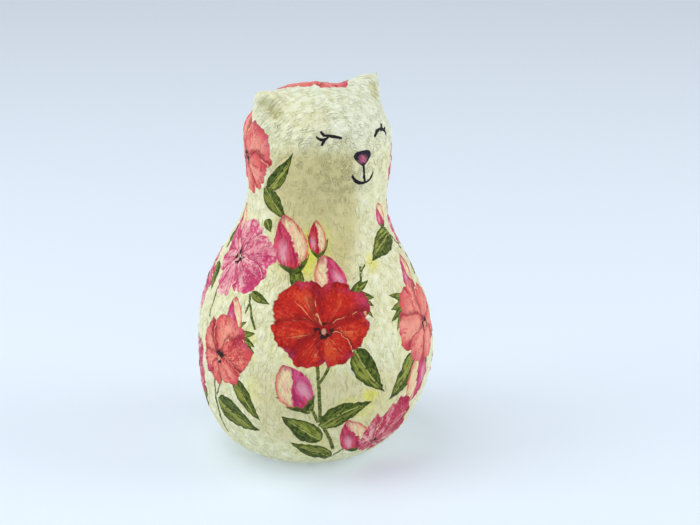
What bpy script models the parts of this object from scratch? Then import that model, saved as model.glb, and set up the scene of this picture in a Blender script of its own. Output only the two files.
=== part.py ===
"""A papier-mache cat: a pear-shaped figure, one solid from its flat underside to its ears.

The cat sits upright on the ground plane, +Z up, and looks along -Y. Its body is a round belly
that narrows to a neck and carries a low-domed head, and the two ears are corners pinched out of
the dome, so the whole cat is one mesh: rings of points round a vertical middle line.
A direction round that line is called a turn, in degrees. The nose is at turn 0, the cat's own
left ear at turn +90 (towards +X) and its right ear at turn -90.
"""

import math

import bmesh
import bpy
from mathutils import Vector, noise

# Widths of the figure, in metres
FOOT_WIDTH = 0.0348
BELLY_WIDTH = 0.0764
NECK_WIDTH = 0.0440
HEAD_WIDTH = 0.0459
EAR_SPAN = 0.0470

# Heights of the same places over the ground
BELLY_HEIGHT = 0.0336
NECK_HEIGHT = 0.0857
CHEEK_HEIGHT = 0.0948
TEMPLE_HEIGHT = 0.104
CROWN_HEIGHT = 0.120

# How the outline swells between those heights: exponents of its curves
UNDERSIDE_FULLNESS = 0.545
SHOULDER_FULLNESS = 1.29

# Ears: where they point, how wide each one is at its root, how square its corner is,
# and how much higher than the crown it would reach if its corner weren't rounded
EAR_TURN = 86.5
EAR_ROOT = 19.0
EAR_SQUARENESS = 15.0
EAR_LIFT = 0.00096

# The climb up the dome at which an ear's ridge starts to sink, and at which it is gone
RIDGE_SINKS = 50.0
RIDGE_ENDS = 68.0

# The hollow in front of each ear: its turn from the ear, its climb up the dome, its spread, its depth
HOLLOW_TURN = 17.0
HOLLOW_CLIMB = 47.0
HOLLOW_SPREAD = 11.0
HOLLOW_DEPTH = 0.0013

# The hand-built middle line leans towards one side over the whole height and sways a little
LEAN = 0.0023
LEAN_TURN = 54.0
SWAY = 0.0007
SWAY_LENGTH = 0.060

# The unevenness that the hand leaves in layered paper: size and depth of its lumps
LUMP_SIZE = 0.014
LUMP_DEPTH = 0.0005

# Rings of points on each stretch of the outline, and points in a ring,
# which crowd together at the ears and, ring by ring, at the ears' corners
UNDERSIDE_RINGS = 12
SHOULDER_RINGS = 15
CHEEK_RINGS = 6
DOME_RINGS = 18
RING_POINTS = 72
CROWDING_TURN = 11.5
CROWDING_CLIMB = 6.5

PAPER_COLOUR = (0.80, 0.79, 0.60, 1.0)
PAPER_ROUGHNESS = 0.55


def clear_scene():
    for old in list(bpy.data.objects):
        bpy.data.objects.remove(old, do_unlink=True)


def compass(turn):
    """The level direction at this turn, in degrees from the nose."""
    angle = math.radians(turn)
    return Vector((math.sin(angle), -math.cos(angle), 0.0))


def ring_turns():
    """Turns of the points in a ring, closer together at the ears than at the nose and the back."""
    for index in range(RING_POINTS):
        even = 360 * index / RING_POINTS
        yield even + CROWDING_TURN * math.sin(math.radians(2 * even))


def underside_outline():
    """From the edge of the flat foot out to the belly, as (radius, height)."""
    foot = FOOT_WIDTH / 2
    belly = BELLY_WIDTH / 2
    for index in range(UNDERSIDE_RINGS):
        climb = 1 - math.cos(math.pi / 2 * index / UNDERSIDE_RINGS)
        swell = (1 - (1 - climb) ** 2) ** UNDERSIDE_FULLNESS
        yield foot + (belly - foot) * swell, climb * BELLY_HEIGHT


def shoulder_outline():
    """From the belly in to the neck."""
    belly = BELLY_WIDTH / 2
    neck = NECK_WIDTH / 2
    for index in range(SHOULDER_RINGS):
        climb = index / SHOULDER_RINGS
        fullness = math.cos(math.pi / 2 * climb**SHOULDER_FULLNESS) ** 2
        height = BELLY_HEIGHT + climb * (NECK_HEIGHT - BELLY_HEIGHT)
        yield neck + (belly - neck) * fullness, height


def cheek_outline():
    """From the neck out to the cheeks and straight up to the temples."""
    neck = NECK_WIDTH / 2
    head = HEAD_WIDTH / 2
    for index in range(CHEEK_RINGS):
        height = NECK_HEIGHT + index / CHEEK_RINGS * (TEMPLE_HEIGHT - NECK_HEIGHT)
        climb = min(1.0, (height - NECK_HEIGHT) / (CHEEK_HEIGHT - NECK_HEIGHT))
        swell = math.sin(math.pi / 2 * climb) ** 2
        yield neck + (head - neck) * swell, height


def ear_share(turn, rise):
    """1 on the ridge of an ear, falling to 0 away from it and towards the crown."""
    aside = abs(turn) - EAR_TURN
    sunk = min(1.0, max(0.0, (rise - RIDGE_SINKS) / (RIDGE_ENDS - RIDGE_SINKS)))
    return math.exp(-((aside / EAR_ROOT) ** 2)) * math.cos(math.pi / 2 * sunk) ** 2


def hollow_share(turn, rise):
    """1 at the bottom of the hollow on an ear's front, falling to 0 away from it."""
    aside = abs(turn) - (EAR_TURN - HOLLOW_TURN)
    above = rise - HOLLOW_CLIMB
    return math.exp(-(aside**2 + above**2) / HOLLOW_SPREAD**2)


def dome_point(turn, rise):
    """(radius, height) on the dome. Rise is the angle up from the temples, 90 at the crown.

    The plain dome is an ellipse. Towards an ear its quarter turns into a square corner.
    """
    angle = math.radians(rise)
    across = math.cos(angle)
    up = math.sin(angle)
    corner = (across**EAR_SQUARENESS + up**EAR_SQUARENESS) ** (-1 / EAR_SQUARENESS)
    ear = ear_share(turn, rise)
    pinch = ear * (corner - 1) / (2**0.5 - 1)
    half_head = HEAD_WIDTH / 2 * (1 - pinch) + EAR_SPAN / 2 * pinch
    dome_height = CROWN_HEIGHT - TEMPLE_HEIGHT + EAR_LIFT * pinch
    hollow = HOLLOW_DEPTH / half_head * hollow_share(turn, rise)
    reach = 1 + ear * (corner - 1) - hollow
    return half_head * reach * across, TEMPLE_HEIGHT + dome_height * reach * up


def dome_rises():
    """Angles up the dome, crowded halfway, where the ears' corners are."""
    for index in range(DOME_RINGS):
        share = index / DOME_RINGS
        yield 90 * share + CROWDING_CLIMB * math.sin(2 * math.pi * share)


def middle(height):
    """The leaning, swaying middle line."""
    rise = height - BELLY_HEIGHT
    aside = LEAN * rise / CROWN_HEIGHT + SWAY * math.cos(2 * math.pi * rise / SWAY_LENGTH)
    return compass(LEAN_TURN) * aside + Vector((0, 0, height))


def wrapped(turn):
    """The same turn between -180 and 180."""
    return (turn + 180) % 360 - 180


def rings():
    """Every ring of the cat, as a list of its points, from the foot up."""
    turns = [wrapped(turn) for turn in ring_turns()]
    turned = [*underside_outline(), *shoulder_outline(), *cheek_outline()]
    for radius, height in turned:
        yield [middle(height) + compass(turn) * radius for turn in turns]
    for rise in dome_rises():
        places = [(turn, *dome_point(turn, rise)) for turn in turns]
        yield [middle(height) + compass(turn) * radius for turn, radius, height in places]


def skin(shape):
    """Joins the rings with four-sided faces and closes the foot and the crown."""
    loops = [[shape.verts.new(point) for point in ring] for ring in rings()]
    for lower, upper in zip(loops, loops[1:]):
        for index in range(RING_POINTS):
            after = (index + 1) % RING_POINTS
            shape.faces.new((lower[index], lower[after], upper[after], upper[index]))
    crown = shape.verts.new(middle(CROWN_HEIGHT))
    under = shape.verts.new(middle(0.0))
    for index in range(RING_POINTS):
        after = (index + 1) % RING_POINTS
        shape.faces.new((loops[-1][index], loops[-1][after], crown))
        shape.faces.new((loops[0][after], loops[0][index], under))


def press_unevenness(shape):
    """Moves the skin in and out along its normals, apart from the flat foot."""
    shape.normal_update()
    moves = []
    for vertex in shape.verts:
        depth = LUMP_DEPTH * noise.noise(vertex.co / LUMP_SIZE)
        share = min(1.0, vertex.co.z / LUMP_SIZE)
        moves.append((vertex, vertex.normal * depth * share))
    for vertex, move in moves:
        vertex.co += move


def stand_on_origin(shape):
    """Shifts the cat so that the middle of its box is over the origin."""
    across = [vertex.co.x for vertex in shape.verts]
    deep = [vertex.co.y for vertex in shape.verts]
    middle_x = (min(across) + max(across)) / 2
    middle_y = (min(deep) + max(deep)) / 2
    bmesh.ops.translate(shape, verts=shape.verts, vec=(-middle_x, -middle_y, 0))


def painted_paper():
    material = bpy.data.materials.new("painted_paper")
    material.use_nodes = True
    shader = material.node_tree.nodes["Principled BSDF"]
    shader.inputs["Base Color"].default_value = PAPER_COLOUR
    shader.inputs["Roughness"].default_value = PAPER_ROUGHNESS
    return material


def build_cat():
    shape = bmesh.new()
    skin(shape)
    press_unevenness(shape)
    stand_on_origin(shape)
    bmesh.ops.recalc_face_normals(shape, faces=shape.faces)
    mesh = bpy.data.meshes.new("papier_mache_cat")
    shape.to_mesh(mesh)
    shape.free()
    mesh.shade_smooth()
    mesh.set_sharp_from_angle(angle=math.radians(60))
    mesh.materials.append(painted_paper())
    cat = bpy.data.objects.new("papier_mache_cat", mesh)
    bpy.context.scene.collection.objects.link(cat)
    return cat


clear_scene()
build_cat()
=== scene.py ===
# %% [markdown]
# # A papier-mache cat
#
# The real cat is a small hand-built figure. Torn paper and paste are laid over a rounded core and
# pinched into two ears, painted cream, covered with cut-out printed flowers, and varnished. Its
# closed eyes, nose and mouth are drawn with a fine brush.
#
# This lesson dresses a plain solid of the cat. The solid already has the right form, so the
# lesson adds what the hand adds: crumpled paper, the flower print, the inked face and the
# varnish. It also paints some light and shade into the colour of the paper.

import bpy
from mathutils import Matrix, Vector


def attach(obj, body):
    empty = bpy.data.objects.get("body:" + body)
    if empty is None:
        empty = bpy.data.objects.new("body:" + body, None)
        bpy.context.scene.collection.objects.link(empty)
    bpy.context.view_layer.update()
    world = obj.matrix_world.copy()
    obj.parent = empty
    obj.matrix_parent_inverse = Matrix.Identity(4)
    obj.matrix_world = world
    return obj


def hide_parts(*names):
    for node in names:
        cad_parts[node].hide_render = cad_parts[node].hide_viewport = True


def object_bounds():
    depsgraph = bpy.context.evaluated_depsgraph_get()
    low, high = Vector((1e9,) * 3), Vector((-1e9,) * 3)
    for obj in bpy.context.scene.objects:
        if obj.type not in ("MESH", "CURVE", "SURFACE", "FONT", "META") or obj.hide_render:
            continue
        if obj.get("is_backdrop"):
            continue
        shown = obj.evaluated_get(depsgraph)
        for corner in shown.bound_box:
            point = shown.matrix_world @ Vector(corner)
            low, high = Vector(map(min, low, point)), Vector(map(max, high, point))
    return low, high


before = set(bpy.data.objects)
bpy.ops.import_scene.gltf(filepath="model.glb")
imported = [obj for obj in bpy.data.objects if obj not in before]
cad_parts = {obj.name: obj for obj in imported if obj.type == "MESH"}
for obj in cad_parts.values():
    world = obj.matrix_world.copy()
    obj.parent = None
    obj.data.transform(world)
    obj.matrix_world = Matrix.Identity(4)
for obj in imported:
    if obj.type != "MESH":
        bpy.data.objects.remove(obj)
solid_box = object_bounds()
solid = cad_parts["papier_mache_cat"]
print("solid:", len(solid.data.polygons), "faces, box", solid_box)

# %% [markdown]
# ## Paper skin
#
# The solid's faces are about three millimetres across, and a crumple in pasted paper is only two
# or three millimetres long, so the faces must become much smaller before they can be crumpled.
# Subdividing alone would leave wide faces on the belly and slivers on the crown. So the mesh is
# first rounded by one subdivision, then remeshed into even little squares with a voxel remesh,
# and smoothed a little to take away the steps that the remesh leaves.

# %% Copy the solid and divide it evenly
import math

import bmesh
import bpy
import numpy as np
from mathutils import Matrix, Vector, noise
from mathutils.bvhtree import BVHTree

MM = 0.001
PAPER_GRID = 0.63 * MM


def bare_skin():
    """The solid's surface as an object of its own, its triangles joined into four-sided faces."""
    shape = bmesh.new()
    shape.from_mesh(solid.data)
    bmesh.ops.remove_doubles(shape, verts=shape.verts, dist=1e-6)
    bmesh.ops.join_triangles(
        shape, faces=shape.faces, angle_face_threshold=0.7, angle_shape_threshold=0.7
    )
    mesh = bpy.data.meshes.new("painted_skin")
    shape.to_mesh(mesh)
    shape.free()
    skin = bpy.data.objects.new("painted_skin", mesh)
    bpy.context.scene.collection.objects.link(skin)
    return skin


def settle(piece):
    """Turns the piece's modifiers into its mesh."""
    graph = bpy.context.evaluated_depsgraph_get()
    settled = bpy.data.meshes.new_from_object(piece.evaluated_get(graph))
    piece.modifiers.clear()
    piece.data = settled


skin = bare_skin()
skin.modifiers.new("round", "SUBSURF").levels = 1
grid = skin.modifiers.new("grid", "REMESH")
grid.mode = "VOXEL"
grid.voxel_size = PAPER_GRID
soften = skin.modifiers.new("soften", "SMOOTH")
soften.factor = 0.5
soften.iterations = 3
settle(skin)
print("skin:", len(skin.data.vertices), "points,", len(skin.data.polygons), "faces")

# %% [markdown]
# ## Crumpled paper
#
# Pasted paper dries into soft lumps with creases between them. The absolute value of a smooth
# noise looks just like that: round hills that meet in sharp valleys. The strips of paper were
# wrapped in arcs round the throat, so the crumples of the head lie along those arcs. Those of the
# body run upwards. How high each point stands above the creases is kept on the mesh, so that
# painted shade can darken the creases and painted highlights can lighten the tops of the lumps.

# %% Measure the skin
def points_of(mesh, what):
    values = np.empty(len(mesh.vertices) * 3, dtype=np.float32)
    mesh.vertices.foreach_get(what, values)
    return values.reshape(-1, 3).astype(float)


smooth_points = points_of(skin.data, "co")
smooth_normals = points_of(skin.data, "normal")
height = smooth_points[:, 2] / MM
print("skin height:", height.min().round(2), "to", height.max().round(2), "mm")


# %% Arcs round the throat
THROAT = np.array([-4.8, -22.4, 88.0])
THROAT_TURN = -12.0


def step(values, low, high):
    """0 below low, 1 above high, and a smooth climb between them."""
    share = np.clip((values - low) / (high - low), 0, 1)
    return share * share * (3 - 2 * share)


def arcs(size, spokes):
    """Places in which noise makes arcs round the throat, this thick in mm."""
    from_throat = smooth_points / MM - THROAT
    turn = math.radians(THROAT_TURN)
    aside = from_throat[:, 0] * math.cos(turn) + from_throat[:, 1] * math.sin(turn)
    round_it = np.arctan2(from_throat[:, 2], aside)
    away = np.linalg.norm(from_throat, axis=1)
    return np.stack([away / size, np.cos(round_it) * spokes, np.sin(round_it) * spokes], axis=1)


def uprights(size, stretch):
    """Places in which noise makes lumps of this size in mm, stretched upwards."""
    return smooth_points / MM / size / np.array([1, 1, stretch])


def smooth_noise(places, shift):
    return np.array([noise.noise(place) for place in places + shift])


def scraps(places, shift):
    """Round hills that meet in creases, from 0 in a crease to about 1."""
    return 2 * np.abs(smooth_noise(places, shift))


# Each part has large and small scraps, with a shift of the noise for each
on_head = step(height, 84, 98) * step(-smooth_points[:, 1] / MM, -8, 4)
broad = smooth_noise(uprights(8, 1.2), 3)
body_scraps = 0.5 * scraps(uprights(2.6, 1.8), 11) + 0.5 * scraps(uprights(1.5, 1.8), 23)
head_scraps = 0.5 * scraps(arcs(2.3, 6), 17) + 0.5 * scraps(arcs(1.4, 9), 31)
crumple = body_scraps + on_head * (head_scraps - body_scraps)
print("crumples:", crumple.min().round(2), "to", crumple.max().round(2))

# %% [markdown]
# ## Laying the print
#
# The flowers are cut from printed tissue, so each one is a flat drawing pasted on a round body.
# A picture could be wrapped round the cat, but a drawing made of numbers stays sharp at any
# size. So each motif is a stamp with a foot and a tip on the body. A direction round the cat is a
# turn in degrees: 0 at the nose, 90 at the cat's left ear. For every corner of every face we
# work out where it lies on the nearest stamp of each kind: across it, along it, and the stamp's
# own tint. The paint nodes then only have to draw one leaf, one bud and one flower. A stamp is
# flat and could print on the far side of the cat too, so it stops a little way off its plane.

# %% A stamp on the body
faces = skin.data.polygons
corner_points = np.empty(len(skin.data.loops), dtype=np.int32)
skin.data.loops.foreach_get("vertex_index", corner_points)
corner_counts = np.empty(len(faces), dtype=np.int32)
faces.foreach_get("loop_total", corner_counts)
corner_places = smooth_points[corner_points]
starts = np.concatenate([[0], np.cumsum(corner_counts)[:-1]])
face_places = np.add.reduceat(corner_places, starts) / corner_counts[:, None]
body = BVHTree.FromObject(solid, bpy.context.evaluated_depsgraph_get())
print("faces to print on:", len(face_places))

# A distance well outside the cat in metres, a place off every stamp, and how far off its plane a
# stamp still prints
OUTSIDE = 0.2
NOWHERE = 9.0
OFF_PLANE = 0.7


def on_body(turn, rise):
    """The point of the body at this turn (degrees) and height (mm), and the normal there."""
    angle = math.radians(turn)
    outward = Vector((math.sin(angle), -math.cos(angle), 0))
    start = outward * OUTSIDE + Vector((0, 0, rise * MM))
    place, normal, _, _ = body.ray_cast(start, -outward)
    return place, normal


class Stamp:
    """A flat motif from a foot to a tip, each a (turn, height). Width and bend are in mm.

    A negative width mirrors the motif, and a bend pushes its middle to the right. Eye is where
    a flower's eye lies on the stamp, and spin turns its petals, in degrees.
    """

    def __init__(self, foot, tip, width, tint=0.0, bend=0.0, eye=(0, 0), spin=0.0):
        low, _ = on_body(*foot)
        high, _ = on_body(*tip)
        up = high - low
        self.half_length = up.length / 2 / MM
        self.half_width = abs(width) / 2
        self.side = math.copysign(1, width)
        middle = (low + high) / 2
        nearest, normal, _, _ = body.find_nearest(middle)
        self.middle = np.array(nearest)
        up.normalize()
        normal = (normal - up * normal.dot(up)).normalized()
        self.axes = np.array([up.cross(normal), up, normal])
        self.tint = tint
        self.bend = bend / self.half_width
        self.eye = np.array(eye, dtype=float)
        self.spin = math.radians(spin)

    def measure(self, places):
        """Across, along and off the stamp: -1 to 1 inside it."""
        across, along, off = self.axes @ (places - self.middle).T / MM
        along = along / self.half_length
        across = across / self.half_width - self.bend * (1 - along**2)
        return across * self.side, along, off / (self.half_width + self.half_length)

    def about_eye(self, across, along):
        """The same place as seen from a flower's eye: 0 at the eye, 1 at the rim all round."""
        offset = np.stack([across - self.eye[0], along - self.eye[1]])
        away = np.hypot(*offset) + 1e-6
        way = offset / away
        lean = self.eye @ way
        rim = np.sqrt(np.maximum(lean**2 + 1 - self.eye @ self.eye, 0)) - lean
        turned = np.array(Matrix.Rotation(self.spin, 2)) @ way
        return turned * away / rim


# %% [markdown]
# ## Ears
#
# Each ear is a pinched corner with a small hollow pressed into its front by a fingertip. The
# fingertip leaves a raised lip on the side of the ear's tip, and the pinch draws the tip itself
# out to a point. Each row below is a side, and the foot, tip and width of the hollow.

# %% Press a hollow into each ear
HOLLOW_DEPTH = 1.1
LIP_HEIGHT = 0.15
TIP_PULL = 1.7
TIP_SPREAD = 1.5
EARS = ((-1, (-64, 112.5), (-82, 118.2), 6.5), (1, (64, 113.5), (79, 119.4), 6.0))


def pressed(foot, tip, width):
    """How deep the fingertip goes at each point, in mm, and the lip that it raises."""
    across, along, off = Stamp(foot, tip, width).measure(smooth_points)
    away = np.hypot(across, along) + NOWHERE * (np.abs(off) > OFF_PLANE)
    dent = np.clip(1 - away**2, 0, 1) ** 1.5
    lip = np.exp(-(((away - 1.05) / 0.25) ** 2)) * step(along, -0.3, 0.6)
    return dent, lip


def tip_pull(side):
    """How far each point is drawn out with the tip of the ear on this side, in mm."""
    outward = np.array([0.72 * side, 0.0, 0.69])
    farthest = smooth_points[np.argmax(smooth_points @ outward)]
    away = np.linalg.norm(smooth_points - farthest, axis=1) / MM
    return np.exp(-away / TIP_SPREAD)[:, None] * outward * TIP_PULL


print("ears:", len(EARS), "hollows,", HOLLOW_DEPTH, "mm deep")

# %% Crumple the skin
LUMP_HEIGHT = 0.46
MORE_ON_HEAD = 0.08
BROAD_HEIGHT = 0.26
MIDDLE_CRUMPLE = 0.4

off_ground = step(height, 0.4, 5)
relief = (crumple - MIDDLE_CRUMPLE) * (LUMP_HEIGHT + MORE_ON_HEAD * on_head)
relief += BROAD_HEIGHT * broad
moved = np.zeros_like(smooth_points)
for side, foot, tip, width in EARS:
    dent, lip = pressed(foot, tip, width)
    relief += LIP_HEIGHT * lip - HOLLOW_DEPTH * dent
    # Lowers the crease value in the hollow, so that painted shade darkens it
    crumple -= 0.9 * dent
    moved += tip_pull(side)
moved += smooth_normals * (relief * off_ground)[:, None]
skin.data.vertices.foreach_set("co", (smooth_points + moved * MM).ravel().astype(np.float32))
skin.data.shade_smooth()
crease = skin.data.attributes.new("crease", "FLOAT", "POINT")
crease.data.foreach_set("value", crumple.astype(np.float32))
print("relief:", relief.min().round(2), "to", relief.max().round(2), "mm")

# %% Lay every stamp of one kind
NARROW = 1.3
MARGIN = 1.4


def lay(kind, stamps, thin=False, eyed=False):
    """Keeps, for every corner, its place on the nearest stamp of this kind.

    Thin stamps are lines, so the distance to one counts from its whole length, and to any other
    from its middle. Eyed stamps are measured from their eye.
    """
    nearest = np.full(len(face_places), MARGIN)
    chosen = np.full(len(face_places), -1)
    for index, stamp in enumerate(stamps):
        across, along, off = stamp.measure(face_places)
        across = across * stamp.half_width / max(stamp.half_width, NARROW)
        if thin:
            along = np.maximum(np.abs(along) - 1, 0) * stamp.half_length / NARROW
        distance = np.hypot(across, along) + NOWHERE * (np.abs(off) > OFF_PLANE)
        closer = distance < nearest
        nearest[closer] = distance[closer]
        chosen[closer] = index
    chosen = np.repeat(chosen, corner_counts)
    places = np.full((len(chosen), 3), NOWHERE)
    for index, stamp in enumerate(stamps):
        mine = chosen == index
        across, along, _ = stamp.measure(corner_places[mine])
        if eyed:
            across, along = stamp.about_eye(across, along)
        places[mine] = np.stack([across, along, np.full(len(across), stamp.tint)], axis=1)
    layer = skin.data.attributes.new(kind, "FLOAT_VECTOR", "CORNER")
    layer.data.foreach_set("vector", places.ravel().astype(np.float32))
    print(kind, "-", len(stamps), "stamps on", int((chosen >= 0).sum()), "corners")


# %% [markdown]
# ## Where the flowers go
#
# The open flowers are red on the front and pink at the shoulder, with buds and leaves between
# them. The cat's face and chest stay bare. The back isn't seen in the photograph, so it has the
# same flowers, set wider apart. Each row is a foot, a tip and a width, then the tint, which runs
# from scarlet (0) through coral (0.2) and rose (0.5) to pink (1).

# %% Open flowers
lay(
    "bloom",
    [
        Stamp((-33, 40), (-33.5, 66), 31, 0.0, eye=(0.05, -0.2)),
        Stamp((-88.5, 57), (-90.5, 80), 23.5, 1.0, eye=(-0.2, 0.05), spin=40),
        Stamp((-85, 29.5), (-88, 52.5), 23, 0.15, eye=(-0.1, -0.25), spin=-12),
        Stamp((30, 34), (31, 59), 26, 0.3, eye=(0.15, -0.15), spin=12),
        Stamp((5, 4.5), (7, 25), 20, 0.5, eye=(-0.25, -0.55), spin=-8),
        Stamp((-105, 88), (-106, 114), 22, 0.2, eye=(-0.1, -0.25), spin=20),
        Stamp((152, 101), (10, 119.95), 26, 0.3, spin=10),
        Stamp((66, 84), (66, 103), 20, 0.8, spin=50),
        Stamp((62, 66), (64, 84), 17, 0.9, spin=15),
        Stamp((-132, 44), (-132, 66), 22, 0.9, eye=(0.1, 0.1), spin=35),
        Stamp((-120, 19), (-121, 41), 22, 0.55, eye=(0.0, -0.2), spin=70),
        Stamp((98, 28), (98, 54), 28, 0.05, eye=(0.0, -0.2), spin=5),
        Stamp((152, 44), (152, 68), 26, 0.85, eye=(0.1, 0.0), spin=55),
        Stamp((-165, 22), (-165, 46), 26, 0.1, eye=(-0.1, -0.2), spin=25),
        Stamp((178, 76), (178, 95), 20, 0.2, spin=45),
    ],
    eyed=True,
)

# %% Buds
lay(
    "bud",
    [
        Stamp((-47.5, 67), (-62.5, 83.5), 13, 0.5),
        Stamp((-33.7, 71.5), (-35, 82.5), 6.4, 0.15),
        Stamp((-20, 59.5), (-31, 72.5), -11.5, 0.7, bend=-1.1),
        Stamp((-78, 46), (-82, 58.5), 7.5, 0.8),
        Stamp((-41, 25.6), (-51.5, 40.8), -14, 1.0),
        Stamp((30, 76.5), (22.5, 84.8), 6.5, 0.8),
        Stamp((29, 54), (38, 67), 8, 1.0),
        Stamp((30, 38), (16, 21), 15, 0.9),
        Stamp((-8, 7.5), (-20.5, 21.5), 12, 0.5),
        Stamp((-104, 69), (-118, 83), 8, 0.9),
        Stamp((120, 66), (112, 80), 9, 0.6),
        Stamp((-150, 66), (-158, 79), 8, 0.9),
        Stamp((130, 16), (138, 31), 12, 0.9),
        Stamp((60, 20), (52, 33), 11, 0.4),
        Stamp((-172, 52), (-180, 62), 7, 0.3),
        Stamp((-140, 82), (-134, 94), 7, 0.2),
    ],
)

# %% Stems
lay(
    "stem",
    [
        Stamp((-34, 20), (-35.8, 45), 1.15, bend=0.3),
        Stamp((-34.6, 35), (-28, 43.5), 1.0, bend=0.4),
        Stamp((-35, 21.5), (-39.5, 29), 1.1),
        Stamp((-33.6, 21), (-26.6, 10.2), 1.2, bend=-0.5),
        Stamp((-26.8, 6.5), (-18.7, 10.6), 0.9),
        Stamp((-33.7, 66), (-33.9, 73), 0.8),
        Stamp((-66.4, 50.3), (-73.7, 60), 0.9, bend=-0.3),
        Stamp((-73.6, 54.3), (-72, 57.8), 0.6),
        Stamp((-101, 49), (-100.5, 61), 0.8, bend=0.2),
        Stamp((-94.1, 14.4), (-92, 33), 0.9, bend=-0.4),
        Stamp((-92.3, 24.5), (-86.3, 31.5), 0.7, bend=0.2),
        Stamp((-93, 10.6), (-93.8, 15), 0.8),
        Stamp((30.5, 76), (47.8, 67.2), 0.8, bend=-0.2),
        Stamp((-8.9, 62.5), (-5.6, 68), 0.8, bend=0.1),
        Stamp((-6.4, 66.4), (-2.0, 68.2), 0.6),
        Stamp((-78, 91), (-69, 88), 0.9),
        Stamp((33.2, 30), (30.2, 39), 0.8),
        Stamp((102, 12), (98, 30), 1.1, bend=0.4),
        Stamp((104, 20), (112, 27), 0.8, bend=-0.2),
        Stamp((157, 24), (152, 46), 1.0, bend=-0.4),
        Stamp((-160, 8), (-165, 24), 1.1, bend=0.4),
        Stamp((-134, 36), (-132, 46), 0.9),
        Stamp((122, 58), (119, 67), 0.8),
        Stamp((178, 68), (178, 78), 0.9),
        Stamp((-146, 60), (-151, 68), 0.8),
        Stamp((126, 8), (131, 18), 0.9, bend=0.2),
        Stamp((64, 12), (60, 21), 0.9, bend=-0.2),
    ],
    thin=True,
)

# %% Leaves
lay(
    "leaf",
    [
        Stamp((-77, 33), (-63.5, 20.3), 6.4, 0.4, bend=0.5),
        Stamp((-91.5, 23.5), (-65, 16.6), 10, 0.2, bend=0.5),
        Stamp((-17.5, 45), (-1.8, 29.5), 8.6, 0.4, bend=0.9),
        Stamp((-34, 20), (-8.5, 27), 8.2, 0.3, bend=-1.4),
        Stamp((-33.5, 14.3), (-53.5, 23.6), 8.6, 0.5, bend=0.4),
        Stamp((-27, 6.6), (-50.5, 13.4), 7.4, 0.2, bend=0.6),
        Stamp((19, 38.5), (1, 25.8), 9, 0.6, bend=-0.7),
        Stamp((37, 73.5), (4, 68.4), 9.0, 0.9, bend=1.0),
        Stamp((-78, 90.5), (-52.5, 103.2), 5.4, 0.7, bend=0.9),
        Stamp((-81, 91), (-59, 81.8), 7, 0.1, bend=0.4),
        Stamp((-78, 81), (-71.5, 77.5), 3.6, 0.0),
        Stamp((-73, 60.6), (-60, 58), 3.2, 0.2, bend=0.3),
        Stamp((-38.5, 25), (-55.5, 30), 3.4, 0.1, bend=0.8),
        Stamp((-38, 25.8), (-40.5, 38.5), 3.2, 0.1, bend=-0.3),
        Stamp((-44.8, 62.5), (-51.5, 71.5), 5.0, 0.0),
        Stamp((-33.7, 71.6), (-41.5, 78.4), 1.5, 0.0, bend=-0.5),
        Stamp((-33.5, 71.6), (-26.2, 77.4), 1.5, 0.0, bend=0.5),
        Stamp((-118, 68), (-113, 84), 3.4, 0.3),
        Stamp((-15.3, 60), (-8, 64.4), 3.2, 0.3),
        Stamp((-15.6, 61.3), (-2.4, 64), 3.0, 0.4, bend=0.3),
        Stamp((-14.6, 61), (-1.4, 58.8), 3.4, 0.3, bend=0.3),
        Stamp((-12.4, 60), (-3.2, 56.4), 2.8, 0.2),
        Stamp((-11, 58.6), (-5, 53.2), 2.2, 0.2, bend=0.2),
        Stamp((21.8, 55.4), (8.6, 58.3), 3.0, 0.3),
        Stamp((20.4, 54.8), (6.3, 54.2), 3.2, 0.3, bend=-0.3),
        Stamp((17.8, 54), (4.8, 50.6), 2.6, 0.2),
        Stamp((15.6, 53.2), (7.5, 47.2), 2.2, 0.2),
        Stamp((-75.4, 47.6), (-65.6, 49.2), 2.6, 0.3),
        Stamp((-74.4, 46.9), (-65, 45), 3.0, 0.3),
        Stamp((-73, 46), (-65.2, 42.8), 2.4, 0.2),
        Stamp((-71.6, 44.6), (-67.2, 40.2), 1.9, 0.2),
        Stamp((-76.4, 49.8), (-71.6, 52.2), 1.7, 0.1),
        Stamp((12, 8.5), (4, 3.5), 4.5, 0.2),
        Stamp((106, 30), (124, 20), 8.5, 0.4, bend=0.6),
        Stamp((90, 30), (74, 20), 8.5, 0.2, bend=-0.6),
        Stamp((100, 16), (84, 10), 8, 0.4),
        Stamp((158, 40), (176, 34), 8.5, 0.3, bend=0.9),
        Stamp((155, 30), (139, 40), 8, 0.5, bend=-0.8),
        Stamp((-158, 16), (-140, 24), 9, 0.3, bend=-0.9),
        Stamp((-162, 13), (178, 14), 8.5, 0.5),
        Stamp((-135, 42), (-152, 50), 7, 0.4),
        Stamp((176, 76), (158, 84), 7, 0.3, bend=-0.7),
        Stamp((-178, 74), (-162, 70), 7, 0.5),
        Stamp((122, 62), (134, 72), 6, 0.3),
        Stamp((80, 62), (96, 70), 8, 0.4),
        Stamp((60, 64), (48, 58), 6, 0.3),
        Stamp((-126, 98), (-146, 106), 7, 0.4, bend=0.7),
        Stamp((84, 104), (104, 110), 6.5, 0.3),
        Stamp((62, 84), (46, 80), 5.5, 0.3),
        Stamp((-116, 64), (-108, 56), 6, 0.2),
        Stamp((-107, 26), (-112, 14), 6, 0.3),
    ],
)

# %% [markdown]
# Round some motifs the printed tissue has a yellow-green wash that the paste has blurred. It is
# laid as soft spots under everything else. The tint is the strength of each.

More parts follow.
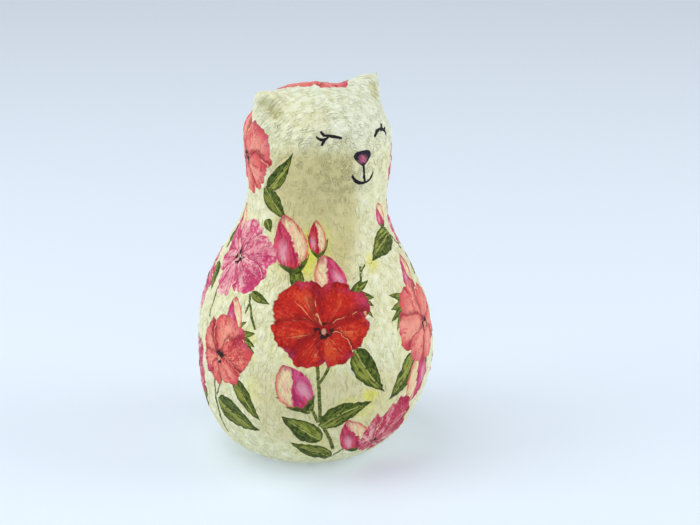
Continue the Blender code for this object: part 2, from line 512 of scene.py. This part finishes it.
# %% Washes
lay(
    "wash",
    [
        Stamp((-41, 63), (-42, 82), 11, 1.2),
        Stamp((-30, 68), (-30, 84), 9, 0.5),
        Stamp((-36, 36), (-37, 62), 37, 0.7),
        Stamp((-10, 25), (-10, 33), 9, 1.0),
        Stamp((-70, 37), (-69, 54), 9, 0.6),
        Stamp((4, 64.5), (4, 72), 8, 0.9),
        Stamp((-20, 20), (-14, 31), 18, 0.6),
        Stamp((-70, 24), (-66, 38), 9, 0.4),
        Stamp((-84, 55), (-86, 80), 32, 0.3),
        Stamp((14, 36), (14, 60), 16, 0.35),
        Stamp((-40, 4), (-38, 17), 20, 0.4),
        Stamp((98, 26), (98, 56), 32, 0.5),
        Stamp((-165, 20), (-165, 48), 30, 0.5),
        Stamp((152, 42), (152, 70), 30, 0.4),
        Stamp((60, 16), (54, 36), 16, 0.5),
    ],
)

# %% [markdown]
# Painted shade: wide, soft ochre spots darken the paper under the chin, down the middle of the
# chest and low on the belly.

# %% Painted ochre shade
lay(
    "painted_shade",
    [
        Stamp((-37, 58), (-37, 109), 32, 0.95),
        Stamp((-30, 8), (-22, 42), 60, 0.6),
        Stamp((158, 60), (158, 96), 44, 0.7),
        Stamp((80, 6), (80, 34), 44, 0.6),
    ],
)

# %% [markdown]
# ## The drawn face
#
# The face is drawn with a fine brush: two closed eyes with lashes, a nose and a smile. Brush
# strokes are laid as the stems are. Strokes that meet are in different kinds, because each place
# holds only one stamp of a kind.

# %% Brush strokes
lay(
    "brush",
    [
        Stamp((-28.8, 108.8), (-14.4, 107.7), 0.95, bend=-0.1),
        Stamp((16.0, 106.4), (26.5, 108.1), 1.05, bend=-0.5),
        Stamp((3.4, 98.8), (4.6, 93.0), 0.85, bend=0.3),
    ],
    thin=True,
)
lay(
    "brush_over",
    [
        Stamp((-27.4, 108.6), (-30.8, 109.9), 0.85, bend=-0.1),
        Stamp((25.0, 108.1), (34.4, 105.2), 1.25, bend=-0.9),
        Stamp((-7.0, 95.9), (4.9, 93.0), 1.15, bend=1.0),
    ],
    thin=True,
)
lay(
    "brush_last",
    [
        Stamp((-24.6, 108.3), (-34.4, 108.4), 0.95, bend=-0.9),
        Stamp((26.4, 107.4), (31.8, 109.2), 1.1, bend=0.1),
        Stamp((3.8, 93.0), (12.6, 95.9), 0.95, bend=0.8),
    ],
    thin=True,
)
lay(
    "lash",
    [
        Stamp((-26.8, 107.9), (-30.4, 105.8), 0.90, bend=0.1),
        Stamp((30.6, 107.0), (36.0, 107.8), 0.9, bend=0.1),
    ],
    thin=True,
)
lay("nose", [Stamp((2.9, 98.1), (2.5, 103.2), 8.2)])

# %% [markdown]
# ## Paint as arithmetic
#
# A material is a net of nodes, and a drawing takes hundreds of them. Wiring each by hand is slow
# to read, so one small class stands for a socket. Sums on it add Math nodes, and its node method
# adds any other kind: it takes the settings first and then feeds the open inputs in order.

# %% The paint kit
class Wire:
    """A value on its way through a finish. Sums on it add Math nodes."""

    def __init__(self, tree, socket=None):
        self.tree = tree
        self.socket = socket

    def node(self, kind, settings, *values):
        """Adds a node, sets it, feeds its open inputs in order and returns its open outputs."""
        new = self.tree.nodes.new("ShaderNode" + kind)
        for name, setting in settings.items():
            setattr(new, name, setting)
        sockets = [socket for socket in new.inputs if socket.enabled]
        for socket, value in zip(sockets, values):
            if isinstance(value, Wire):
                self.tree.links.new(value.socket, socket)
            elif value is not None:
                socket.default_value = value
        made = [Wire(self.tree, socket) for socket in new.outputs if socket.enabled]
        return made[0] if len(made) == 1 else made

    def sum(self, operation, *values):
        return self.node("Math", {"operation": operation}, *values)

    def __add__(self, other):
        return self.sum("ADD", self, other)

    def __radd__(self, other):
        return self.sum("ADD", other, self)

    def __sub__(self, other):
        return self.sum("SUBTRACT", self, other)

    def __rsub__(self, other):
        return self.sum("SUBTRACT", other, self)

    def __mul__(self, other):
        return self.sum("MULTIPLY", self, other)

    def __rmul__(self, other):
        return self.sum("MULTIPLY", other, self)

    def __truediv__(self, other):
        return self.sum("DIVIDE", self, other)

    def __pow__(self, power):
        return self.sum("POWER", self, power)

    def __abs__(self):
        return self.sum("ABSOLUTE", self)

    def above(self, least):
        """Never less than this."""
        return self.sum("MAXIMUM", self, least)

    def ease(self, low, high):
        """A smooth climb from 0 at low to 1 at high. Low may be the larger."""
        smooth = {"interpolation_type": "SMOOTHSTEP"}
        return self.node("MapRange", smooth, self, low, high, 0.0, 1.0)

    def parts(self):
        """The three numbers of a vector."""
        return self.node("SeparateXYZ", {}, self)


def blend(share, under, over):
    """A colour: under where share is 0, over where it is 1."""
    return share.node("Mix", {"data_type": "RGBA"}, share, under, over)


def dye(red, green, blue):
    """A colour as a screen shows it, 0 to 255, in the linear light that a shader works with."""
    linear = [(part / 255 + 0.055) / 1.055 for part in (red, green, blue)]
    return (*[part**2.4 for part in linear], 1.0)


def grain(place, size, detail=2.0, roughness=0.5):
    """Cloudy noise from 0 to 1. Size is in the place's own unit."""
    return place.node("TexNoise", {}, place, 1 / size, detail, roughness)[0]


def shifted(place, amount, by):
    """A place moved by an amount of another one, so that no two motifs are alike."""
    return place.node("VectorMath", {"operation": "MULTIPLY_ADD"}, by, (amount,) * 3, place)


print("128 on a screen is", round(dye(128, 128, 128)[0], 3), "in linear light")

# %% [markdown]
# ## Bare painted paper
#
# Cream paint over paper isn't one colour, and has small dark flecks of fibre. Light and shade are
# painted into it as well: painted shade, yellow-green, in the creases, a painted highlight, nearly
# white, on the tops of the lumps, and a painted cool sheen high on the head. The crease value kept
# on the mesh picks between them. All places are in millimetres, so the sizes of the noise are too.

# %% Start the finish
finish = bpy.data.materials.new("varnished_print_on_paper")
finish.use_nodes = True
tree = finish.node_tree
shader = tree.nodes["Principled BSDF"]
start = Wire(tree)


def vector(operation, *values):
    """A sum on places, which adds a Vector Math node."""
    return start.node("VectorMath", {"operation": operation}, *values)


def point(*numbers):
    """A place put together from three numbers."""
    return start.node("CombineXYZ", {}, *numbers)


def painted_so_far(what):
    print(what, "painted, the finish has", len(tree.nodes), "nodes")


spot = start.node("TexCoord", {})[3]
spot = vector("SCALE", spot, 1 / MM)
print("finish started:", finish.name)


# %% Small dents in the paper
right, back, rise = spot.parts()
head = rise.ease(84.0, 98.0) * back.ease(8.0, -4.0)
from_throat = vector("SUBTRACT", spot, tuple(THROAT))
turned = start.node(
    "VectorRotate", {"rotation_type": "Z_AXIS"}, from_throat, None, -math.radians(THROAT_TURN)
)
aside, _, above = turned.parts()
round_it = vector("NORMALIZE", point(aside, above, 0.0))
round_it = vector("SCALE", round_it, 11.0)
away = vector("LENGTH", from_throat)
arc_place = vector("ADD", round_it, point(0.0, 0.0, away * 0.9))
upright = vector("MULTIPLY", spot, (0.62, 0.62, 0.34))


def creased(place):
    """Round hills with sharp creases between them, from 0 in a crease to about 1."""
    return abs(grain(place, 1.0, 2.0) - 0.5) * 5.0


body_hills = creased(upright)
hills = body_hills + head * (creased(arc_place) - body_hills)
pressed_hard = grain(spot, 2.4, 1.0).ease(0.38, 0.60)
tall = vector("MULTIPLY", spot, (0.22, 0.22, 0.06))
seam = abs(grain(tall, 1.0, 2.0) - 0.5).ease(0.014, 0.0) * grain(spot, 5.0, 1.0).ease(0.54, 0.66)
seam = seam * (1.0 - head * 0.7)
print("dents:", len(tree.nodes), "nodes")


def kept(kind):
    """The three numbers that were laid on the mesh for one kind of stamp."""
    laid = start.node("Attribute", {"attribute_name": kind})[1]
    return laid.parts()


# %% Cream paper
CREAM = dye(235, 233, 192)
LUMP_HIGHLIGHT = dye(248, 248, 226)
COOL_SHEEN = dye(226, 232, 212)
CREASE_SHADE = dye(200, 196, 134)
HOLLOW = dye(190, 176, 98)
OCHRE = dye(208, 194, 130)
FLECK = dye(124, 116, 72)

crease_depth = start.node("Attribute", {"attribute_name": "crease"})[2]
# Painted cool sheen high on the head
cool = rise.ease(98.0, 112.0) * (right.ease(-18.0, -2.0) * 0.6 + 0.2)
colour = blend(cool, CREAM, COOL_SHEEN)
# Painted shade in the creases of the mesh
colour = blend(crease_depth.ease(0.40, 0.0) * 0.5, colour, CREASE_SHADE)
# Painted highlight on the tops of the lumps and of the fine hills
colour = blend(crease_depth.ease(0.5, 1.0) * 0.6, colour, LUMP_HIGHLIGHT)
colour = blend(hills.ease(0.5, 1.1) * 0.35, colour, LUMP_HIGHLIGHT)
cloud = grain(spot, 12.0)
# Painted ochre shade under the chin, down the chest and low on the belly, with cloudy ochre tone
# at random
across, along, strength = kept("painted_shade")
far = (across**4 + along**4) ** 0.25
painted_shade = (far + (cloud - 0.5) * 0.5).ease(1.0, 0.65) * strength
colour = blend(painted_shade * 0.8 + cloud.ease(0.5, 0.8) * 0.2, colour, OCHRE)
# Painted shade in the fine creases where the paper was pressed hard
colour = blend(hills.ease(0.22, 0.0) * pressed_hard * 0.65, colour, CREASE_SHADE)
# Painted shade in the seam grooves and, below, in the ear hollows
colour = blend(seam * 0.2, colour, HOLLOW)
colour = blend(crease_depth.ease(0.05, -0.6) * 0.6, colour, HOLLOW)
fleck = grain(spot, 0.55, 1.0)
colour = blend(fleck.ease(0.72, 0.79) * 0.5, colour, FLECK)
painted_so_far("cream paper")

# %% [markdown]
# ## Washes and stems
#
# A wash is strongest in its middle and its edge is uneven, so a cloudy noise moves the edge. A
# stem is a stripe: the first number of its stamp is -1 and 1 at its two sides.

# %% Draw washes and stems
WASH = dye(228, 222, 84)
STEM_DARK = dye(58, 70, 18)
STEM_LIGHT = dye(128, 136, 56)

across, along, strength = kept("wash")
far = (across * across + along * along) ** 0.5
edge = grain(spot, 2.2)
colour = blend((far + edge * 0.7).ease(1.35, 0.55) * strength * 0.75, colour, WASH)

across, along, _ = kept("stem")
rough = grain(spot, 0.9)
share = (abs(across) + rough * 0.5).ease(1.4, 1.05) * abs(along).ease(1.03, 0.98)
colour = blend(share, colour, blend(rough.ease(0.3, 0.75), STEM_DARK, STEM_LIGHT))
painted_so_far("washes and stems")

# %% [markdown]
# ## A leaf
#
# The printed leaves are dark along one edge and pale beside the midrib on the other half, with a
# ragged outline. The outline is a width that changes along the leaf: two powers, one that closes
# the tip and one that closes the foot.

# %% Draw leaves
LEAF_DARK = dye(44, 58, 8)
LEAF = dye(90, 108, 26)
LEAF_PALE = dye(172, 176, 74)
MIDRIB = dye(194, 192, 104)


def outline(along, foot, tip, most):
    """Half the width of a motif that closes at its foot and its tip."""
    return (1 - along).above(0.0) ** tip * (1 + along).above(0.0) ** foot * most


def leaf_print(under):
    across, along, pale = kept("leaf")
    cloud = grain(spot, 1.0, 3.0)
    teeth = grain(spot, 1.9, 1.0)
    inside = outline(along, 0.55, 1.15, 0.84) - abs(across) + (teeth - 0.5) * 0.30
    lengthwise = point(across * 3.0, along * 0.9, pale)
    streak = grain(shifted(lengthwise, 0.08, spot), 0.5)
    green = blend(cloud.ease(0.35, 0.65), LEAF_DARK, LEAF)
    light = across.ease(0.0, 0.14) * inside.ease(0.08, 0.35) * streak.ease(0.35, 0.6)
    green = blend(light * (pale * 0.6 + 0.45), green, LEAF_PALE)
    light = across.ease(-0.06, -0.2) * inside.ease(0.1, 0.4) * streak.ease(0.5, 0.7)
    green = blend(light * 0.4, green, LEAF_PALE)
    rib = abs(across + (teeth - 0.5) * 0.12).ease(0.08, 0.02) * along.ease(0.8, 0.3)
    green = blend(rib * cloud.ease(0.34, 0.46) * 0.8, green, MIDRIB)
    green = blend(inside.ease(0.20, 0.02) * 0.75, green, LEAF_DARK)
    return blend(inside.ease(0.0, 0.06), under, green)


colour = leaf_print(colour)
painted_so_far("leaves")

# %% [markdown]
# ## A bud
#
# A bud shows two petals, one folded over the other. A slanting line through it parts them: the
# near one is rose with streaks, and the far one pale with a coloured rim. At the foot is a green
# cup with points.

# %% Draw buds
RED_DEEP = dye(160, 14, 28)
RED = dye(216, 52, 48)
ROSE_DEEP = dye(182, 34, 92)
ROSE = dye(224, 92, 138)
BUD_PALE = dye(238, 230, 172)
BUD_PINK = dye(244, 190, 160)
BUD_SHINE = dye(240, 176, 190)
CORAL = dye(214, 62, 58)


def bud_print(under):
    across, along, pink = kept("bud")
    cloud = grain(spot, 1.3)
    width = outline(along, 0.70, 0.80, 0.86)
    inside = width - abs(across) + (cloud - 0.5) * 0.18
    lengthwise = point(across * 3.6, along * 0.8, pink)
    streak = grain(shifted(lengthwise, 0.08, spot), 0.5, 3.0)
    sweep = along * 2.4 + pink * 3.0
    fold = across + along * 0.26 - 0.05 - sweep.sum("SINE", sweep) * 0.13 + (cloud - 0.5) * 0.4
    deep = blend(pink, RED_DEEP, ROSE_DEEP)
    near = blend(streak.ease(0.38, 0.62), deep, blend(pink, RED, ROSE))
    aside = across + 0.40
    below = (along + 0.20) * 0.6
    shine = ((aside * aside + below * below) ** 0.5 + streak * 0.5).ease(0.60, 0.30)
    near = blend(shine * 0.7, near, BUD_SHINE)
    near = blend(fold.ease(-0.25, -0.04) * 0.6, near, deep)
    far = blend(streak.ease(0.42, 0.60), BUD_PALE, BUD_PINK)
    far = blend((inside + (streak - 0.5) * 0.6).ease(0.30, 0.02) * 0.85, far, CORAL)
    petals = blend(fold.ease(-0.06, 0.06), near, far)
    base = (-0.35 - along + (streak - 0.5) * 1.2).ease(0.0, 0.5)
    petals = blend(base * 0.7, petals, blend(cloud.ease(0.42, 0.58), deep, CORAL))
    petals = blend((along + (streak - 0.5) * 0.8).ease(0.55, 0.95) * 0.6, petals, deep)
    under = blend(inside.ease(0.0, 0.06), under, petals)
    green = blend(cloud.ease(0.4, 0.62), LEAF_DARK, LEAF)
    cup = -0.82 - along + abs(across) * 0.4 + (cloud - 0.5) * 0.3
    under = blend(cup.ease(-0.02, 0.03) * inside.ease(-0.04, 0.03), under, green)
    thick = (-0.30 - along) * 0.08 + (cloud - 0.5) * 0.05
    sepal = thick - abs(abs(across) - width - (along + 1.0) * 0.05)
    return blend(sepal.ease(0.0, 0.03) * along.ease(-1.02, -0.96), under, green)


colour = bud_print(colour)
painted_so_far("buds")

# %% [markdown]
# ## An open flower
#
# Each open flower has six broad petals with ruffled rims. The stamps were measured from the
# flower's eye, so the place round the eye is all that is needed. A petal is an egg that points
# away from the eye, and a noise bends its edge. The petals are laid one over another, as the
# printer's drawing has them: each throws a dark shade on those behind it, and has a hair-thin
# pale line along one edge. Noise that changes quickly with direction and slowly with distance
# gives the streaks that run outwards. The scarlet ones are darkest, the coral ones have peach
# streaks, the pink ones pale streaks, and here and there a rim has a purple flush.

# %% Petals of an open flower
CRIMSON = dye(144, 6, 14)
SCARLET = dye(202, 30, 18)
ORANGE = dye(226, 84, 42)
SALMON = dye(228, 92, 90)
PEACH = dye(252, 172, 150)
MAGENTA = dye(178, 28, 86)
PINK = dye(218, 74, 122)
BLUSH = dye(252, 214, 206)
FLUSH = dye(196, 62, 116)
VEIN = dye(244, 184, 128)
EYE_PAD = dye(222, 156, 124)
STAMEN = dye(30, 16, 16)

# Where each petal points, in degrees from the right, and half its width, from back to front
PETALS = ((128, 0.57), (52, 0.57), (188, 0.40), (-2, 0.44), (238, 0.38), (298, 0.40))
PETAL_MIDDLE = 0.53
PETAL_LENGTH = 0.50


class Flower:
    """What every petal of a flower needs: where it is painted and with which colours."""

    def __init__(self, across, along, pink):
        flat = point(across, along, 0.0)
        own = point(0.0, 0.0, pink * 9.0)
        way = vector("ADD", vector("NORMALIZE", flat), own)
        swirl = start.node("TexNoise", {}, vector("ADD", flat, own), 1.6, 2.0)[1]
        swirl = vector("SUBTRACT", swirl, (0.5, 0.5, 0.5))
        self.place = shifted(flat, 0.42, swirl)
        self.pink = pink
        self.out = vector("LENGTH", flat)
        self.gap = grain(spot, 4.0, 0.0).ease(0.38, 0.46)
        self.frill = grain(way, 0.24, 2.0)
        ray = vector("ADD", way, point(0.0, 0.0, self.out * 0.35))
        streak = grain(ray, 0.06, 3.0, 0.6)
        blot = grain(spot, 0.9, 3.0)
        coral = pink.ease(0.0, 0.2) * pink.ease(0.5, 0.35)
        body = grain(ray, 0.34, 1.0) * 0.4 + streak * 0.3 + blot * 0.3 + coral * 0.08
        self.deep = blend(pink, CRIMSON, MAGENTA)
        full = blend(coral * 0.8, blend(pink, SCARLET, PINK), SALMON)
        bright = blend(pink.ease(0.3, 0.5), blend(coral, ORANGE, PEACH), BLUSH)
        self.shade = blend(body.ease(0.44, 0.56), self.deep, full)
        flushed = self.out.ease(0.6, 1.0) * grain(spot, 7.0, 1.0).ease(0.50, 0.60)
        self.shade = blend(flushed * (0.6 - pink * 0.4), self.shade, FLUSH)
        self.light = blend((body + pink * 0.06).ease(0.48, 0.62), full, bright)


print("petals of a flower:", len(PETALS))

# %% One petal over the others
def petal_print(flower, painted, behind, way, half):
    """Lays one petal on what is painted.

    Behind is how far inside the petals so far each spot is, or None under the first petal.
    """
    cos = math.cos(math.radians(way))
    sin = math.sin(math.radians(way))
    out = vector("DOT_PRODUCT", flower.place, (cos, sin, 0))
    aside = vector("DOT_PRODUCT", flower.place, (-sin, cos, 0))
    out = (out - PETAL_MIDDLE) / PETAL_LENGTH
    aside = aside / (out * 0.10 + half - flower.pink * 0.07)
    reach = (out * out + aside * aside) ** 0.5
    inside = (1.0 - reach) * 0.45 + (flower.frill - 0.5) * flower.out * 0.27
    rim = reach.ease(0.30, 1.0)
    ruffle = (flower.frill - 0.5) * flower.out.ease(0.5, 0.95) * 1.8
    dark = rim * (0.8 - flower.pink * 1.1) + flower.pink * 0.46 + aside * 0.16 + ruffle + 0.08
    own = blend(dark, flower.light, flower.shade)
    own = blend(inside.ease(0.06, 0.0) * (0.7 - flower.pink * 0.4), own, flower.deep)
    vein = abs(aside + (flower.frill - 0.5) * 2.0).ease(0.035, 0.01) * out.ease(0.5, -0.1)
    own = blend(vein * flower.out.ease(0.15, 0.3) * 0.6, own, blend(flower.pink, VEIN, BLUSH))
    if behind is None:
        return blend(inside.ease(0.0, 0.03), painted, own), inside
    covered = behind.ease(0.0, 0.04)
    painted = blend(inside.ease(-0.12, 0.0) * covered * 0.75, painted, flower.deep)
    painted = blend(inside.ease(0.0, 0.03), painted, own)
    line = abs(inside - 0.02).ease(0.013, 0.005) * aside.ease(-0.5, 0.1)
    line = line * covered * flower.out.ease(0.10, 0.2) * flower.gap * 0.8
    painted = blend(line, painted, blend(flower.pink, VEIN, BLUSH))
    return painted, inside.sum("MAXIMUM", inside, behind)


# %% Draw open flowers
def bloom_print(under):
    flower = Flower(*kept("bloom"))
    painted = under
    inside = None
    for way, half in PETALS:
        painted, inside = petal_print(flower, painted, inside, way, half)
    speck = grain(spot, 1.5, 1.0)
    pad = (flower.out + speck * 0.1).ease(0.13, 0.09)
    painted = blend(pad, painted, EYE_PAD)
    clump = speck.ease(0.48, 0.53) * (flower.out + flower.frill * 0.1).ease(0.28, 0.20)
    return blend(clump * (1.0 - pad * 0.7), painted, STAMEN)


colour = bloom_print(colour)
painted_so_far("open flowers")

# %% [markdown]
# ## Ink
#
# A brush stroke is thinnest at its ends. The nose is a rounded triangle with its point down,
# nearly black at its edge and rose in its middle.

# %% Draw the face
INK = dye(24, 16, 26)
NOSE_EDGE = dye(30, 22, 44)
NOSE_MIDDLE = dye(200, 112, 134)


def brush_print(under, kind):
    across, along, _ = kept(kind)
    thin = abs(across) + along * along * 0.3
    share = (thin + (grain(spot, 0.5) - 0.5) * 0.5).ease(1.2, 0.9) * abs(along).ease(1.08, 0.98)
    return blend(share, under, INK)


for kind in ("brush", "brush_over", "brush_last", "lash"):
    colour = brush_print(colour, kind)

across, along, _ = kept("nose")
inside = outline(along, 0.85, 0.30, 0.72) - abs(across) + (grain(spot, 0.8) - 0.5) * 0.16
middle = (across * across * 2.2 + along * along) ** 0.5
nose = blend((middle + grain(spot, 0.5) * 0.9).ease(1.20, 0.60), NOSE_EDGE, NOSE_MIDDLE)
colour = blend(inside.ease(0.0, 0.10), colour, nose)
painted_so_far("face")

# %% [markdown]
# ## Varnish and paper grain
#
# The finest wrinkles are under a millimetre wide, too small for the faces of the mesh, so they
# are a bump. They follow the same arcs on the head and stand upright on the body. The varnish is
# satin and lies on the paper, so its shine is broken up by them.

# %% Finish the surface
WRINKLE_DEPTH = 0.28 * MM

fibre = grain(spot, 0.40, 3.0, 0.6)
paper = hills.ease(0.0, 0.7) * (pressed_hard * 0.8 + 0.2) * (head * 0.3 + 1.0)
paper = paper + 0.35 * fibre - 0.7 * seam
bump = start.node("Bump", {}, 1.0, WRINKLE_DEPTH, None, paper)
tree.links.new(colour.socket, shader.inputs["Base Color"])
tree.links.new((fibre * 0.25 + 0.42).socket, shader.inputs["Roughness"])
tree.links.new(bump.socket, shader.inputs["Normal"])
shader.inputs["Coat Weight"].default_value = 0.04
shader.inputs["Coat Roughness"].default_value = 0.35
shader.inputs["Specular IOR Level"].default_value = 0.2
skin.data.materials.clear()
skin.data.materials.append(finish)
print("finish:", len(tree.nodes), "nodes")

# %% Put the skin in the frame
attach(skin, "root")
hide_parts("papier_mache_cat")

# %% [markdown]
# ## Table, light and camera
#
# The cat stands on a pale, bluish light table. The table glows a little, which keeps the shadow
# under the belly as pale as in the photograph. The strongest lamp is high up on the left, a little
# blue, and brings out the crumples. A lower lamp on each side and a faint one in front keep the
# shade open, and the sky of the world fills the rest. All are wide disks, so no shadow has a hard
# edge. The camera looks down at 18 degrees with a long lens from about half a metre. Its tilt
# counts from straight down, and it is panned a little so that the cat stands off centre.

# %% Table
TABLE_HALF = 3.0


def table():
    mesh = bpy.data.meshes.new("table")
    low = -TABLE_HALF
    high = TABLE_HALF
    corners = [(low, low, 0), (high, low, 0), (high, high, 0), (low, high, 0)]
    mesh.from_pydata(corners, [], [(0, 1, 2, 3)])
    top = bpy.data.objects.new("table", mesh)
    bpy.context.scene.collection.objects.link(top)
    paper = bpy.data.materials.new("pale_table")
    paper.use_nodes = True
    paper_shader = paper.node_tree.nodes["Principled BSDF"]
    paper_shader.inputs["Base Color"].default_value = dye(197, 208, 218)
    paper_shader.inputs["Emission Color"].default_value = dye(232, 242, 255)
    paper_shader.inputs["Emission Strength"].default_value = 0.29
    paper_shader.inputs["Roughness"].default_value = 0.5
    mesh.materials.append(paper)
    top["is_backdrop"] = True
    print("table:", 2 * TABLE_HALF, "m wide")


table()


# %% Light
AIM = Vector((0, 0, 0.05))


def lamp(name, turn, away, rise, size, power, tint):
    """A disk of light at this turn, distance and height in metres, turned to the cat."""
    light = bpy.data.lights.new(name, "AREA")
    light.shape = "DISK"
    light.size = size
    light.energy = power
    light.color = tint
    piece = bpy.data.objects.new(name, light)
    angle = math.radians(turn)
    piece.location = (away * math.sin(angle), -away * math.cos(angle), rise)
    piece.rotation_euler = (AIM - piece.location).to_track_quat("-Z", "Y").to_euler()
    bpy.context.scene.collection.objects.link(piece)
    print(name, "gives", power, "W")


lamp("left_lamp", -115, 0.75, 0.45, 0.6, 2.3, (1.0, 0.985, 0.95))
lamp("right_lamp", 48, 0.80, 0.45, 0.6, 3.2, (1.0, 0.99, 0.97))
lamp("top_lamp", -120, 0.35, 1.00, 0.7, 4.0, (0.93, 0.975, 1.0))
lamp("front_lamp", -25, 0.80, 0.30, 0.6, 0.6, (1.0, 0.99, 0.97))
world = bpy.data.worlds.new("studio")
world.use_nodes = True
sky = world.node_tree.nodes["Background"]
sky.inputs["Color"].default_value = dye(240, 243, 248)
sky.inputs["Strength"].default_value = 0.50
bpy.context.scene.world = world
bpy.context.scene.view_settings.view_transform = "Standard"

# %% Camera
CAMERA_TURN = -36.0
CAMERA_AWAY = 0.50534
CAMERA_HEIGHT = 0.2257
CAMERA_TILT = 72.0
CAMERA_PAN = 1.28
LENS = 84.86
SENSOR = 36.0


def camera():
    lens = bpy.data.cameras.new("camera")
    lens.sensor_width = SENSOR
    lens.lens = LENS
    view = bpy.data.objects.new("camera", lens)
    angle = math.radians(CAMERA_TURN)
    view.location = (CAMERA_AWAY * math.sin(angle), -CAMERA_AWAY * math.cos(angle), CAMERA_HEIGHT)
    pan = math.radians(CAMERA_TURN - CAMERA_PAN)
    view.rotation_euler = (math.radians(CAMERA_TILT), 0.0, pan)
    bpy.context.scene.collection.objects.link(view)
    bpy.context.scene.camera = view
    print("camera at", tuple(round(part, 3) for part in view.location))


camera()

dressed_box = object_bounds()
boxes = {"solid": solid_box, "dressed": dressed_box}
boxes = {name: [[float(part) for part in corner] for corner in box] for name, box in boxes.items()}
print("dressed box:", boxes["dressed"])
